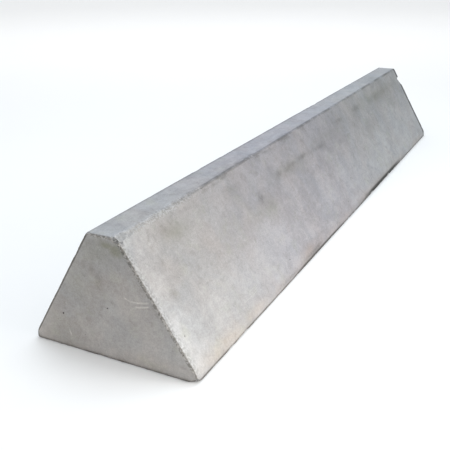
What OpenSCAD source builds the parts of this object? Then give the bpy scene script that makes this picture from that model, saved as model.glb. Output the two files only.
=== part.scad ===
// Low precast concrete barrier block with its reinforcement cage and lifting sockets.
// The block is cast base-up in a V-shaped mould and turned over to stand on its base.
// +X runs along the block, +Z is up, and the origin is the centre of the base.

/* [Block] */
// Overall length of the block
block_len = 3000; // [2400:100:3600]
// Width of the base
base_w = 575; // [525:5:650]
// Overall height
block_h = 400; // [375:5:475]
// Width of the flat top
top_w = 100; // [95:5:150]
// Height of the upright toe along both long sides
toe_h = 25; // [15:5:40]
// Radius of the two long arrises of the top
arris_r = 8; // [4:1:15]

/* [Cage] */
// Concrete cover to the links
cover = 35; // [30:1:40]
// Diameter of the links
link_d = 8; // [6:1:8]
// Number of links along the block
link_count = 13; // [11:1:17]
// Diameter of the four corner bars and the two inner base bars
main_d = 12; // [10:1:12]
// Diameter of the side bars and the end U-bars
side_d = 10; // [8:1:12]
// Straight length of each link's hook tails
hook_len = 80; // [60:5:90]
// Length of the end U-bars along the block
u_bar_len = 450; // [300:10:550]

/* [Lifting] */
// Thread bore of each lifting socket (tap-drill size of the M16 thread)
thread_d = 14; // [13:0.5:15]
// Outside diameter of each lifting socket
socket_d = 22; // [20:1:26]
// Length of each lifting socket
socket_len = 54; // [50:2:70]
// Depth of the threaded part
thread_len = 30; // [24:1:32]
// Diameter of the recess round each socket mouth
recess_d = 44; // [36:2:60]
// Depth of that recess
recess_h = 10; // [6:1:12]
// Height that each anchor tail reaches above its socket
tail_rise = 220; // [160:10:230]

/* [Hidden] */
$fn = 48;
eps = 1;             // overshoot of cutting solids
gap = 0.5;           // concrete film between crossing bars
seam_len = 0.3;      // how far a bend runs into the straight bar at each end
seam_step = 0.02;    // how much thinner a bend is than its straights, on the radius
tight_bend = 2.5;    // centreline radius of link and tail bends, in bar diameters
wide_bend = 3;       // the same for the end U-bars
hook_turn = 135;     // angle that a link's hooks are bent through
end_margin = 75;     // from an end face to the first link
bar_end = 50;        // from an end face to the end of a long bar
u_end = 40;          // from an end face to the crown of a U-bar
u_low_z = 90;        // height of the lower U-bars
u_high = 0.65;       // height of the upper ones, as a share of the block's
spacer_skin = 6;     // concrete left outside a wheel spacer's rim
spacer_w = 14;       // width of a wheel spacer
spacer_wall = 3;     // thickness of its rim, hub and spokes
spacer_spokes = 6;
spacer_low = 0.36;   // heights of the two wheels on a leg, as shares of the block's
spacer_high = 0.72;
crimp_len = 20;      // tail length held inside the socket
tail_d = 12;
tail_wave = 14;      // sideways amplitude of the tail's waves
tail_bends = 5;
inner_bar_y = base_w / 8;

link_r = link_d / 2;
main_r = main_d / 2;
side_r = side_d / 2;
bend_r = tight_bend * link_d;           // link bends, on the centreline
link_lap = link_d * 5 / 4;              // sideways step that lets a link's second hook pass its first
slope_k = (base_w - top_w) / 2 / (block_h - toe_h);
slope_a = atan(slope_k);                // lean of the sides from upright
link_off = cover + link_r;              // link centreline to a face
link_pitch = (block_len - 2 * end_margin) / (link_count - 1);
socket_x = -(link_x(2) + link_x(3)) / 2; // half-way between the third and fourth links
spacer_r = link_off - spacer_skin;
u_high_z = block_h * u_high;

// half width of a line set in by off from the sloping face, at height z
function half_w(z, off) = base_w / 2 - (z - toe_h) * slope_k - off / cos(slope_a);

link_low_z = link_off;
link_top_z = block_h - link_off;
link_low_y = half_w(link_low_z, link_off);
link_top_y = half_w(link_top_z, link_off);

top_turn = 90 - slope_a;                // turn of the link at its top corners
low_turn = 90 + slope_a;                // turn at its base corners
top_tangent = bend_r * tan(top_turn / 2);
low_tangent = bend_r * tan(low_turn / 2);
hook_tangent = bend_r * tan(hook_turn / 2);

// corner bars sit in the link's bends
nest = bend_r - link_r - main_r - gap;
ridge_bar_y = link_top_y - top_tangent + nest * sin(top_turn / 2);
ridge_bar_z = link_top_z - bend_r + nest * cos(top_turn / 2);
corner_bar_y = link_low_y - low_tangent + nest * sin(low_turn / 2);
corner_bar_z = link_low_z + bend_r - nest * cos(low_turn / 2);
inner_bar_z = link_low_z + link_r + gap + main_r;
side_bar_z = block_h / 2;
side_bar_y = half_w(side_bar_z, link_off + link_r + side_r + gap);

// links that carry spacers
spacer_links = [1, floor((link_count - 1) / 3), ceil((link_count - 1) * 2 / 3), link_count - 2];

function link_x(i) = -block_len / 2 + end_margin + i * link_pitch;
function two_digits(i) = str(i < 10 ? "0" : "", i);
LINK_NODES = [for (i = [1:link_count]) str("link_", two_digits(i))];

concrete_colour = [0.70, 0.69, 0.67];
steel_colour = [0.36, 0.24, 0.18];
zinc_colour = [0.74, 0.75, 0.76];
spacer_colour = [0.25, 0.27, 0.29];

// ---- bars bent from round wire ----

function unit(v) = v / norm(v);
function turn_of(a, b) = acos(max(-1, min(1, a * b)));

// places children so that local X, Y, Z run along x, y, z from p
module oriented(p, x, y, z) {
    multmatrix([
        [x[0], y[0], z[0], p[0]],
        [x[1], y[1], z[1], p[1]],
        [x[2], y[2], z[2], p[2]],
        [0, 0, 0, 1]
    ]) children();
}

// a straight rod from p to q
module rod(p, q, d) {
    z = unit(q - p);
    side = abs(z[0]) < 0.9 ? [1, 0, 0] : [0, 1, 0];
    x = unit(cross(side, z));
    oriented(p, x, cross(z, x), z) cylinder(d = d, h = norm(q - p));
}

// one bend at corner p between unit directions a and b, its ends set a little way into the straights
module bend(p, a, b, r, d) {
    turn = turn_of(a, b);
    centre = p + unit(b - a) * r / cos(turn / 2);
    x = unit(p - a * r * tan(turn / 2) - centre);
    lead = seam_len / r * 180 / PI;
    oriented(centre, x, a, cross(x, a)) rotate([0, 0, -lead])
        rotate_extrude(angle = turn + 2 * lead) translate([r, 0]) circle(d = d - 2 * seam_step);
}

// a bar through the points of path, with every corner bent to radius r
module bent_bar(path, r, d) {
    last = len(path) - 1;
    dirs = [for (i = [0:last - 1]) unit(path[i + 1] - path[i])];
    trim = [for (i = [0:last]) i == 0 || i == last ? 0 : r * tan(turn_of(dirs[i - 1], dirs[i]) / 2)];
    for (i = [0:last - 1]) rod(path[i] + dirs[i] * trim[i], path[i + 1] - dirs[i] * trim[i + 1], d);
    for (i = [1:last - 1]) bend(path[i], dirs[i - 1], dirs[i], r, d);
}

// a straight bar along the whole block at (y, z)
module long_bar(y, z, d) {
    half = block_len / 2 - bar_end;
    color(steel_colour) rod([-half, y, z], [half, y, z], d);
}

// ---- the pieces ----

// upright outline of the block, with rounded top arrises
module section() {
    t = arris_r * tan(top_turn / 2);
    arris_y = top_w / 2 - t;
    cut_y = top_w / 2 + t * sin(slope_a);
    cut_z = block_h - t * cos(slope_a);
    polygon([
        [-base_w / 2, 0], [base_w / 2, 0], [base_w / 2, toe_h], [cut_y, cut_z],
        [arris_y, block_h], [-arris_y, block_h], [-cut_y, cut_z], [-base_w / 2, toe_h]
    ]);
    for (s = [-1, 1]) translate([s * arris_y, block_h - arris_r]) circle(r = arris_r);
}

module block() {
    translate([-block_len / 2, 0, 0]) rotate([90, 0, 90]) linear_extrude(block_len) section();
}

// the block less everything that is cast into it
module concrete_body() {
    color(concrete_colour) difference() {
        block();
        corner_bars();
        side_bars();
        for (i = [0:link_count - 1]) link_bar(i);
        for (s = [-1, 1]) {
            u_bar(s, u_low_z);
            u_bar(s, u_high_z);
            socket_form(s);
            anchor_tail(s);
        }
        spacer_group(true);
    }
}

module corner_bars() {
    for (s = [-1, 1]) {
        base_bar(s);
        ridge_bar(s);
        inner_base_bar(s);
    }
}

module side_bars() {
    for (s = [-1, 1]) side_bar(s);
}

module base_bar(s) { long_bar(s * corner_bar_y, corner_bar_z, main_d); }
module ridge_bar(s) { long_bar(s * ridge_bar_y, ridge_bar_z, main_d); }
module inner_base_bar(s) { long_bar(s * inner_bar_y, inner_bar_z, main_d); }
module side_bar(s) { long_bar(s * side_bar_y, side_bar_z, side_d); }

// the corners of a link: hook tail, round the four corners, and a second hook tail beside the first
function link_path(i) =
    let (
        x = link_x(i),
        over = hook_tangent - top_tangent,
        tail = hook_tangent + hook_len,
        first = [-link_top_y - over, link_top_z],
        last = [-link_top_y + over * sin(slope_a), link_top_z + over * cos(slope_a)],
        end_a = 90 - slope_a - hook_turn,
        end_b = 180 - hook_turn
    )
    [
        [x, first[0] + tail * cos(end_b), first[1] - tail * sin(end_b)],
        [x, first[0], first[1]],
        [x, link_top_y, link_top_z],
        [x, link_low_y, link_low_z],
        [x, -link_low_y, link_low_z],
        [x + link_lap, last[0], last[1]],
        [x + link_lap, last[0] + tail * cos(end_a), last[1] + tail * sin(end_a)]
    ];

module link_bar(i) {
    color(steel_colour) bent_bar(link_path(i), bend_r, link_d);
}

// hairpin round an end of the cage, at height z; s is the end
module u_bar(s, z) {
    y = half_w(z, link_off + link_r + side_r + gap);
    crown = s * (block_len / 2 - u_end);
    tip = crown - s * u_bar_len;
    path = [[tip, -y, z], [crown, -y, z], [crown, y, z], [tip, y, z]];
    color(steel_colour) bent_bar(path, wide_bend * side_d, side_d);
}

// outside of a lifting socket, with the recess that its mounting plate leaves in the base
module socket_form(s) {
    translate([s * socket_x, 0, 0]) {
        translate([0, 0, -eps]) cylinder(d = recess_d, h = recess_h + eps);
        cylinder(d = socket_d, h = recess_h + socket_len);
    }
}

// steel socket, threaded from below and crimped round its tail above
module lifting_socket(s) {
    color(zinc_colour) translate([s * socket_x, 0, recess_h]) difference() {
        cylinder(d = socket_d, h = socket_len);
        translate([0, 0, -eps]) cylinder(d = thread_d, h = thread_len + eps);
        translate([0, 0, socket_len - crimp_len]) cylinder(d = tail_d, h = crimp_len + eps);
    }
}

// waved bar that anchors a lifting socket in the concrete
module anchor_tail(s) {
    foot = recess_h + socket_len - crimp_len;
    top = recess_h + socket_len + tail_rise;
    first = foot + 2 * crimp_len;
    step = (top - first) / (tail_bends - 1);
    side = [for (i = [0:tail_bends - 1]) i == 0 || i == tail_bends - 1 ? 0 : i % 2 == 1 ? 1 : -1];
    path = concat(
        [[s * socket_x, 0, foot]],
        [for (i = [0:tail_bends - 1]) [s * socket_x + side[i] * tail_wave, 0, first + i * step]]
    );
    color(steel_colour) bent_bar(path, tight_bend * tail_d, tail_d);
}

// one wheel spacer lying in the XY plane round a link; solid fills its hub
module wheel_spacer(solid) {
    hub_r = link_r + spacer_wall;
    translate([0, 0, -spacer_w / 2]) linear_extrude(spacer_w) difference() {
        union() {
            difference() {
                circle(r = spacer_r);
                circle(r = spacer_r - spacer_wall);
            }
            circle(r = hub_r);
            for (i = [0:spacer_spokes - 1]) rotate(i * 360 / spacer_spokes)
                translate([hub_r - eps, -spacer_wall / 2]) square([spacer_r - hub_r, spacer_wall]);
        }
        if (!solid) circle(r = link_r);
    }
}

// all wheel spacers, square to the sloping legs of their links
module spacer_group(solid) {
    for (i = spacer_links, z = [block_h * spacer_low, block_h * spacer_high], leg = [2, 4]) {
        a = link_path(i)[leg];
        b = link_path(i)[leg + 1];
        dir = unit(b - a);
        across = unit(cross(dir, [1, 0, 0]));
        oriented(a + (b - a) * (z - a[2]) / (b[2] - a[2]), cross(across, dir), across, dir)
            wheel_spacer(solid);
    }
}

module cover_spacers() {
    color(spacer_colour) spacer_group(false);
}

concrete_body();
base_bar(-1);  // base_bar_front
base_bar(1);  // base_bar_back
ridge_bar(-1);  // ridge_bar_front
ridge_bar(1);  // ridge_bar_back
inner_base_bar(-1);  // inner_base_bar_front
inner_base_bar(1);  // inner_base_bar_back
side_bar(-1);  // side_bar_front
side_bar(1);  // side_bar_back
for (i = [0:link_count - 1]) link_bar(i);
u_bar(-1, u_low_z);  // u_bar_left_low
u_bar(-1, u_high_z);  // u_bar_left_high
u_bar(1, u_low_z);  // u_bar_right_low
u_bar(1, u_high_z);  // u_bar_right_high
lifting_socket(-1);  // lifting_socket_left
lifting_socket(1);  // lifting_socket_right
anchor_tail(-1);  // anchor_tail_left
anchor_tail(1);  // anchor_tail_right
cover_spacers();
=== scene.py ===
"""The looks of a low precast concrete barrier block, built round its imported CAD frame.

The CAD concrete is replaced by one weathered, chipped block with the same outline. The steel and plastic in
it are the CAD's own meshes. X runs along the block, the front is the long side that faces -Y, and the left
end faces -X. Lengths are in metres, and in millimetres where a comment says so.
"""

import math

import bmesh
import bpy
import numpy as np
from mathutils import Matrix, Vector


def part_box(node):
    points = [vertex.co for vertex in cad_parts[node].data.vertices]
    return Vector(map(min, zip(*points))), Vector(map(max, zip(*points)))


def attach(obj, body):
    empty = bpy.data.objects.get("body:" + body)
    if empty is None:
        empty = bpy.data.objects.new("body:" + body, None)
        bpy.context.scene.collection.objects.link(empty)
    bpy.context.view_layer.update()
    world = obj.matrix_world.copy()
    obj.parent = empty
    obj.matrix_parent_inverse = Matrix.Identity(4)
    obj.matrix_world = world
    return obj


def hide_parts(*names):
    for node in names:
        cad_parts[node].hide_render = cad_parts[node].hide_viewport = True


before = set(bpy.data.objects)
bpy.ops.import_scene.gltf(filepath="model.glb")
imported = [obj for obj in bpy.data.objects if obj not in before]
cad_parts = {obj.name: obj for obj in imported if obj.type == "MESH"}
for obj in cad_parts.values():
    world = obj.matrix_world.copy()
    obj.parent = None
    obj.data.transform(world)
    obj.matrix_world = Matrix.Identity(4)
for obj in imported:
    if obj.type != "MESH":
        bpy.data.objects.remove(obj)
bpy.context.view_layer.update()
MM = 0.001

# ---- outline from the CAD block

block_lo, block_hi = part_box("concrete_body")
HALF_L = (block_hi.x - block_lo.x) / 2
HALF_W = (block_hi.y - block_lo.y) / 2
HEIGHT = block_hi.z
LEFT_X = -HALF_L


def end_outline():
    """Toe height and half width of the top, read from the CAD block's end face."""
    rim = [v.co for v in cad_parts["concrete_body"].data.vertices if v.co.x < block_lo.x + 1e-5]
    toe = max(p.z for p in rim if p.y > HALF_W - 1e-5)
    slope = min((HALF_W - p.y) / (p.z - toe) for p in rim if p.z > toe + 0.1 and p.y > 0)
    return toe, HALF_W - (HEIGHT - toe) * slope


TOE_H, HALF_TOP = end_outline()
SLOPE_LEN = math.hypot(HALF_W - HALF_TOP, HEIGHT - TOE_H)

# how far the finished faces stand inside the CAD box, which leaves room for fins and bumps
SKIN = 1.6 * MM
END_SKIN = 3.5 * MM

# ---- noise

TABLE_SIZE = 65536   # a power of two
TABLE = np.random.RandomState(7).rand(TABLE_SIZE)
SCATTER = (73856093, 19349663, 83492791, 2654435)   # these keep neighbouring points apart


def lattice(ix, iy, iz, seed):
    """One fixed random value for each whole-number point."""
    h = (ix * SCATTER[0]) ^ (iy * SCATTER[1]) ^ (iz * SCATTER[2]) ^ (seed * SCATTER[3])
    return TABLE[(h ^ (h >> 13)) & (TABLE_SIZE - 1)]


def noise(p, size, seed):
    """Smooth noise from -1 to 1 at points p, with lumps of about that size."""
    q = np.asarray(p) / size
    i = np.floor(q).astype(np.int64)
    f = q - i
    f = f * f * f * (f * (f * 6 - 15) + 10)
    total = 0
    for dx in (0, 1):
        wx = f[:, 0] if dx else 1 - f[:, 0]
        for dy in (0, 1):
            wy = f[:, 1] if dy else 1 - f[:, 1]
            for dz in (0, 1):
                wz = f[:, 2] if dz else 1 - f[:, 2]
                total = total + wx * wy * wz * lattice(i[:, 0] + dx, i[:, 1] + dy, i[:, 2] + dz, seed)
    return total * 2 - 1


def fractal(p, size, seed, octaves):
    """Noise of several sizes, each half as large as the one before, from -1 to 1 in all."""
    total, weight, reach = 0, 0, 1
    for k in range(octaves):
        total = total + reach * noise(p, size / 2**k, seed + 17 * k)
        weight += reach
        reach /= 2
    return total / weight


def smoothstep(a, b, x):
    """Goes smoothly from 0 at a to 1 at b."""
    t = np.clip((x - a) / (b - a), 0, 1)
    return t * t * (3 - 2 * t)


# ---- the block's mesh


def graded(count, crowd):
    """count + 1 fractions from 0 to 1, closer together near both ends as crowd nears 1."""
    t = np.arange(count + 1) / count
    return (1 - crowd) * t + crowd * (1 - np.cos(math.pi * t)) / 2


ACROSS = 56   # faces across the base and across the top
TOE_ROWS = 8
SLOPE_ROWS = 108
SIDE_ROWS = TOE_ROWS + SLOPE_ROWS

BASE_HALF = HALF_W - SKIN
TOP_HALF = HALF_TOP - SKIN * 0.3
TOP_Z = HEIGHT - SKIN

# the outline's corners, going round from the front of the base: Y, Z and radius, and for the side that
# starts there, how many faces the mesh has across it and how crowded they are at its edges
OUTLINE = [
    (-BASE_HALF, 0.0, 3 * MM, ACROSS, 0.85),
    (BASE_HALF, 0.0, 3 * MM, TOE_ROWS, 0.3),
    (BASE_HALF, TOE_H, 80 * MM, SLOPE_ROWS, 0.75),
    (TOP_HALF, TOP_Z, 6 * MM, ACROSS, 0.5),
    (-TOP_HALF, TOP_Z, 8 * MM, SLOPE_ROWS, 0.75),
    (-BASE_HALF, TOE_H, 80 * MM, TOE_ROWS, 0.3),
]
CORNERS = np.array([corner[:2] for corner in OUTLINE])
SIDES = np.roll(CORNERS, -1, axis=0) - CORNERS


def unit(v):
    """Each vector made one long."""
    return v / np.linalg.norm(v, axis=-1, keepdims=True)


def section_loop():
    """The outline's points, with the side that each one is on or starts."""
    points, side = [], []
    for k, (_, _, _, count, crowd) in enumerate(OUTLINE):
        points.append(CORNERS[k] + SIDES[k] * graded(count, crowd)[:-1, None])
        side += [k] * count
    return np.concatenate(points), np.array(side)


def round_corners(points, side):
    """Moves the points near each corner onto an arc, and gives each point its outward normal."""
    along = unit(SIDES)
    flat = np.column_stack([along[:, 1], -along[:, 0]])
    normals = flat[side]
    done = np.zeros(len(points), bool)
    for k, (y, z, radius, _, _) in enumerate(OUTLINE):
        n_in, n_out = flat[k - 1], flat[k]
        turn = math.acos(np.clip(n_in @ n_out, -1, 1))
        tangent = radius * math.tan(turn / 2)
        centre = (y, z) - unit(n_in + n_out) * radius / math.cos(turn / 2)
        rel = points - (y, z)
        dist = np.linalg.norm(rel, axis=1)
        near = (dist < tangent) & ~done
        for i in np.where(near)[0]:
            before = dist[i] > 1e-9 and rel[i] @ -along[k - 1] > 0.999 * dist[i]
            share = 0.5 * (1 - dist[i] / tangent)
            t = share if before else 1 - share
            normals[i] = unit(n_in * math.sin((1 - t) * turn) + n_out * math.sin(t * turn))
            points[i] = centre + normals[i] * radius
        done |= near
    return points, normals


def station_steps():
    """Places along X from end to end: close together at the ends, then even."""
    step, even, growth = 1.4 * MM, 9 * MM, 1.03
    lead = [0.0]
    while step < even:
        lead.append(lead[-1] + step)
        step *= growth
    lead = np.array(lead)
    span = 2 * (HALF_L - END_SKIN)
    middle = np.linspace(lead[-1], span - lead[-1], int((span - 2 * lead[-1]) / even) + 1)[1:-1]
    return np.concatenate([lead, middle, span - lead[::-1]]) - span / 2


def reach(gaps, start, step, clear):
    """The first place from start, going by step, that is at least clear away or next to the sheet's edge."""
    k = start + step
    while 1 < k < len(gaps) - 2 and gaps[k] < clear:
        k += step
    return k


class Skin:
    """The block's surface as it is put together, mostly from sheets, which are grids of point numbers.

    Each point has an outward normal, how far it is sunk in a hole, and whether weathering leaves it exact.
    """

    def __init__(self):
        self.points, self.normals, self.sunk, self.exact = [], [], [], []
        self.faces, self.sheets, self.count = [], [], 0

    def add_points(self, points, normals, sunk=0.0, exact=False):
        size = len(points)
        self.points.append(points)
        self.normals.append(normals)
        self.sunk.append(np.broadcast_to(sunk, size))
        self.exact.append(np.broadcast_to(exact, size))
        self.count += size
        return np.arange(self.count - size, self.count)

    def add_sheet(self, ids, turned):
        """A grid of point numbers whose cells become faces, unless a hole takes them out."""
        self.sheets.append([ids, np.ones((ids.shape[0] - 1, ids.shape[1] - 1), bool), turned])

    def open_patch(self, place, clear):
        """Takes out the cells round a place. Gives the gap's rim in face order, or None for lack of room."""
        points = np.concatenate(self.points)
        gaps = [np.linalg.norm(points[ids] - place, axis=-1) for ids, _, _ in self.sheets]
        ids, keep, turned = self.sheets[int(np.argmin([gap.min() for gap in gaps]))]
        gap = np.linalg.norm(points[ids] - place, axis=-1)
        i, j = np.unravel_index(np.argmin(gap), gap.shape)
        if not (1 < i < ids.shape[0] - 2 and 1 < j < ids.shape[1] - 2):
            return None
        low_i, high_i = (reach(gap[:, j], i, step, clear) for step in (-1, 1))
        low_j, high_j = (reach(gap[i], j, step, clear) for step in (-1, 1))
        cells = keep[low_i:high_i, low_j:high_j]
        fits = min(gap[low_i, j], gap[high_i, j], gap[i, low_j], gap[i, high_j]) >= clear
        if not fits or not cells.all():
            return None
        cells[:] = False
        rim = [
            ids[low_i:high_i, low_j],
            ids[high_i, low_j:high_j],
            ids[low_i + 1:high_i + 1, high_j][::-1],
            ids[low_i, low_j + 1:high_j + 1][::-1],
        ]
        rim = np.concatenate(rim)
        return rim[::-1] if turned else rim

    def sink(self, place, normal, clear, rings, wobble=0.0, exact=False):
        """Opens a round hole. rings is a list of (radius, depth), from the mouth to the bottom."""
        place, normal = np.array(place), np.array(normal)
        rim = self.open_patch(place, clear)
        if rim is None:
            return
        points = np.concatenate(self.points)[rim]

        # the mouth lies in the rim's plane, and each ring has two points for each point of the rim
        away = points - place
        place = place + normal * np.median(away @ normal)
        away = points - place
        away = away - np.outer(away @ normal, normal)
        twice = np.empty((2 * len(rim), 3))
        twice[0::2] = unit(away)
        twice[1::2] = unit(twice[0::2] + np.roll(twice[0::2], -1, 0))
        turn = np.arctan2(twice[:, 2], twice[:, 0] + twice[:, 1])
        uneven = 1 + wobble * (np.sin(2 * turn + place[0] * 90) + 0.5 * np.sin(5 * turn + place[2] * 70))
        outer = None
        for radius, depth in rings:
            ring = place + twice * (radius * uneven)[:, None]
            ids = self.add_points(ring, np.tile(normal, (len(ring), 1)), depth, exact and depth > 0)
            after = np.roll(ids, -1)
            if outer is None:
                for k in range(len(rim)):
                    ahead = (k + 1) % len(rim)
                    self.faces.append((rim[k], rim[ahead], ids[2 * ahead], ids[2 * k + 1], ids[2 * k]))
            else:
                self.faces.extend(zip(outer, np.roll(outer, -1), after, ids))
            outer = ids
        bottom = self.add_points(place[None], normal[None], rings[-1][1], exact)[0]
        for k in range(len(outer)):
            self.faces.append((outer[k], outer[(k + 1) % len(outer)], bottom))

    def gather(self):
        for ids, keep, turned in self.sheets:
            quads = np.stack([ids[:-1, :-1], ids[1:, :-1], ids[1:, 1:], ids[:-1, 1:]], -1)[keep]
            self.faces.extend(quads[:, ::-1].tolist() if turned else quads.tolist())
        faces = [tuple(int(v) for v in face) for face in self.faces]
        parts = (self.points, self.normals, self.sunk, self.exact)
        return [np.concatenate(part) for part in parts] + [faces]


def build_skin():
    """The clean block, before weathering and without holes."""
    loop, loop_n = round_corners(*section_loop())
    xs = station_steps()
    ring = len(loop)
    tube = np.zeros((len(xs), ring, 3))
    tube[:, :, 0] = xs[:, None]
    tube[:, :, 1:] = loop
    tube_n = np.zeros_like(tube)
    tube_n[:, :, 1:] = loop_n
    skin = Skin()
    index = skin.add_points(tube.reshape(-1, 3), tube_n.reshape(-1, 3)).reshape(len(xs), ring)
    skin.add_sheet(np.column_stack([index, index[:, 0]]), False)

    # each end is a grid blended between the same outline points: u goes across and v up
    around = np.append(np.arange(ring), 0)
    turns = np.cumsum([0, ACROSS, SIDE_ROWS, ACROSS, SIDE_ROWS])
    base, back, top, front = (around[a:b + 1] for a, b in zip(turns, turns[1:]))
    top, front = top[::-1], front[::-1]
    u = graded(ACROSS, 0.6)[:, None, None]
    v = np.linspace(0, 1, SIDE_ROWS + 1)[None, :, None]
    below, above = loop[base][:, None], loop[top][:, None]
    grid = (1 - v) * below + v * above + (1 - u) * loop[front][None] + u * loop[back][None]
    corners = (1 - u) * (1 - v) * below[0, 0] + u * (1 - v) * below[-1, 0]
    grid -= corners + (1 - u) * v * above[0, 0] + u * v * above[-1, 0]
    inner = grid[1:-1, 1:-1].reshape(-1, 2)
    for end in (0, -1):
        points = np.column_stack([np.full(len(inner), xs[end]), inner])
        outward = np.tile([math.copysign(1, xs[end]), 0, 0], (len(inner), 1))
        ids = np.zeros((ACROSS + 1, SIDE_ROWS + 1), int)
        ids[1:-1, 1:-1] = skin.add_points(points, outward).reshape(ACROSS - 1, SIDE_ROWS - 1)
        rim = index[end]
        ids[:, 0], ids[:, -1], ids[0, :], ids[-1, :] = rim[base], rim[top], rim[front], rim[back]
        skin.add_sheet(ids, end == 0)
    return skin


# ---- breaks along the edges

SLOPE_N = unit(np.array([TOP_Z - TOE_H, BASE_HALF - TOP_HALF]))
PLANES = {
    "left": ((-1, 0, 0), (-(HALF_L - END_SKIN), 0, 0)),
    "right": ((1, 0, 0), (HALF_L - END_SKIN, 0, 0)),
    "base": ((0, 0, -1), (0, 0, 0)),
    "top": ((0, 0, 1), (0, 0, TOP_Z)),
    "front": ((0, -SLOPE_N[0], SLOPE_N[1]), (0, -BASE_HALF, TOE_H)),
    "back": ((0, SLOPE_N[0], SLOPE_N[1]), (0, BASE_HALF, TOE_H)),
    "toe_front": ((0, -1, 0), (0, -BASE_HALF, 0)),
    "toe_back": ((0, 1, 0), (0, BASE_HALF, 0)),
}


def depth_in(p, plane):
    """How far each point lies inside that face."""
    normal, origin = (np.array(v, float) for v in PLANES[plane])
    return (origin - p) @ normal


def on_line(p, a, b):
    """Each point's foot on the line where two faces meet."""
    (na, oa), (nb, ob) = ((np.array(v, float) for v in PLANES[k]) for k in (a, b))
    along = unit(np.cross(na, nb))
    origin = np.linalg.solve(np.array([na, nb, along]), [na @ oa, nb @ ob, 0])
    return origin + ((p - origin) @ along)[:, None] * along


def cut(p, planes, size):
    """Breaks the edge or corner where these faces meet: size is how far back along each face it reaches."""
    normal = sum(np.array(PLANES[k][0], float) for k in planes)
    inside = sum(np.maximum(depth_in(p, k), 0) for k in planes)
    back = np.maximum(size - inside, 0) / (normal @ normal)
    return -normal * back[:, None]


def bites(s, spacing, chance, depth, seed):
    """Separate bite marks along s, at most one in each length of spacing."""
    total = np.zeros(len(s))
    for step in (-1, 0, 1):
        cell = np.floor(s / spacing).astype(np.int64) + step
        r = [lattice(cell, k, 0, seed) for k in range(4)]
        centre = (cell + 0.2 + 0.6 * r[0]) * spacing
        width = spacing * (0.1 + 0.3 * r[1])
        size = depth * (0.25 + 0.75 * r[2] ** 2) * (r[3] < chance)
        total = np.maximum(total, size * np.clip(1 - ((s - centre) / width) ** 2, 0, 1) ** 0.7)
    return total


def bump(s, centre, width, height):
    """One smooth rise of that height, gone beyond width on each side of centre."""
    return height * np.clip(1 - ((s - centre) / width) ** 2, 0, 1)


def long_edge(p, a, b, breaks, seed, knocks):
    """Size of the breaks along an edge that runs the block's length."""
    base, ragged, bite = (v * MM for v in breaks)
    foot = on_line(p, a, b)
    s = foot[:, 0] - LEFT_X
    size = base + ragged * fractal(foot, 22 * MM, seed, 3) + ragged * fractal(foot, 160 * MM, seed + 5, 2)
    size = size + bites(s, 130 * MM, 0.5, bite, seed) + bites(s, 31 * MM, 0.3, 0.4 * bite, seed + 3)
    for centre, width, height in knocks:
        size = size + bump(s, centre * MM, width * MM, height * MM)
    return size


# breaks along the edges of both end faces: least size, raggedness and bite, in millimetres
END_BREAKS = {
    "front": (2.2, 4.4, 5.0),
    "back": (0.6, 1.4, 2.5),
    "top": (4.0, 4.4, 5.0),
    "base": (0.6, 1.6, 2.5),
    "toe_front": (0.8, 2.2, 3.0),
    "toe_back": (0.6, 1.4, 2.0),
}


def end_edge(p, side, face, seed):
    """Size of the breaks along an edge of an end face."""
    base, ragged, bite = (v * MM for v in END_BREAKS[face])
    foot = on_line(p, side, face)
    s = foot[:, 1] + foot[:, 2]
    size = base + ragged * fractal(foot, 11 * MM, seed, 3)
    size = size + ragged * 0.5 * noise(foot, 5 * MM, seed + 2)
    return size + bites(s, 19 * MM, 0.6, 0.7 * bite, seed) + bites(s, 80 * MM, 0.4, 1.2 * bite, seed + 1)


# what knocks have taken off: distance from the left end, half width and size, in millimetres
TOP_FRONT_KNOCKS = [
    (0, 110, 13), (200, 120, 5), (380, 90, 4), (470, 40, 4), (880, 60, 4), (1400, 30, 3), (2200, 40, 3),
]
TOP_BACK_KNOCKS = [(620, 30, 3), (1810, 45, 4), (2600, 20, 3)]
BASE_FRONT_KNOCKS = [(0, 36, 5), (1400, 16, 6), (1780, 22, 5), (2100, 26, 6)]
BASE_BACK_KNOCKS = [(900, 24, 11), (1560, 18, 8), (2450, 34, 12), (2990, 22, 13)]

# edges that run the block's length: two faces, least size, raggedness and bite (millimetres), seed, knocks
LONG_EDGES = [
    ("top", "front", (1.5, 2.0, 5.0), 50, TOP_FRONT_KNOCKS),
    ("top", "back", (1.0, 1.0, 2.5), 60, TOP_BACK_KNOCKS),
    ("base", "toe_front", (1.2, 1.5, 5.0), 70, BASE_FRONT_KNOCKS),
    ("base", "toe_back", (2.5, 2.5, 9.0), 80, BASE_BACK_KNOCKS),
]

# the corners: the faces that meet there and the size of what is gone, in millimetres
CORNER_KNOCKS = {
    "left top front": 29,
    "left top back": 4,
    "left base toe_front": 24,
    "left base toe_back": 4,
    "right top front": 5,
    "right top back": 4,
    "right base toe_front": 4,
    "right base toe_back": 26,
}


FLAKE_SIZE = 30 * MM


def far_spall(p):
    """The far end's front edge has lost a flake just below the top, with a square upper lip."""
    foot = on_line(p, "right", "front")
    down = (HEIGHT - foot[:, 2]) * SLOPE_LEN / (HEIGHT - TOE_H)
    lip, tail = smoothstep(58 * MM, 62 * MM, down), smoothstep(118 * MM, 78 * MM, down)
    return FLAKE_SIZE * (lip * tail) + 1.5 * MM


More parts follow.
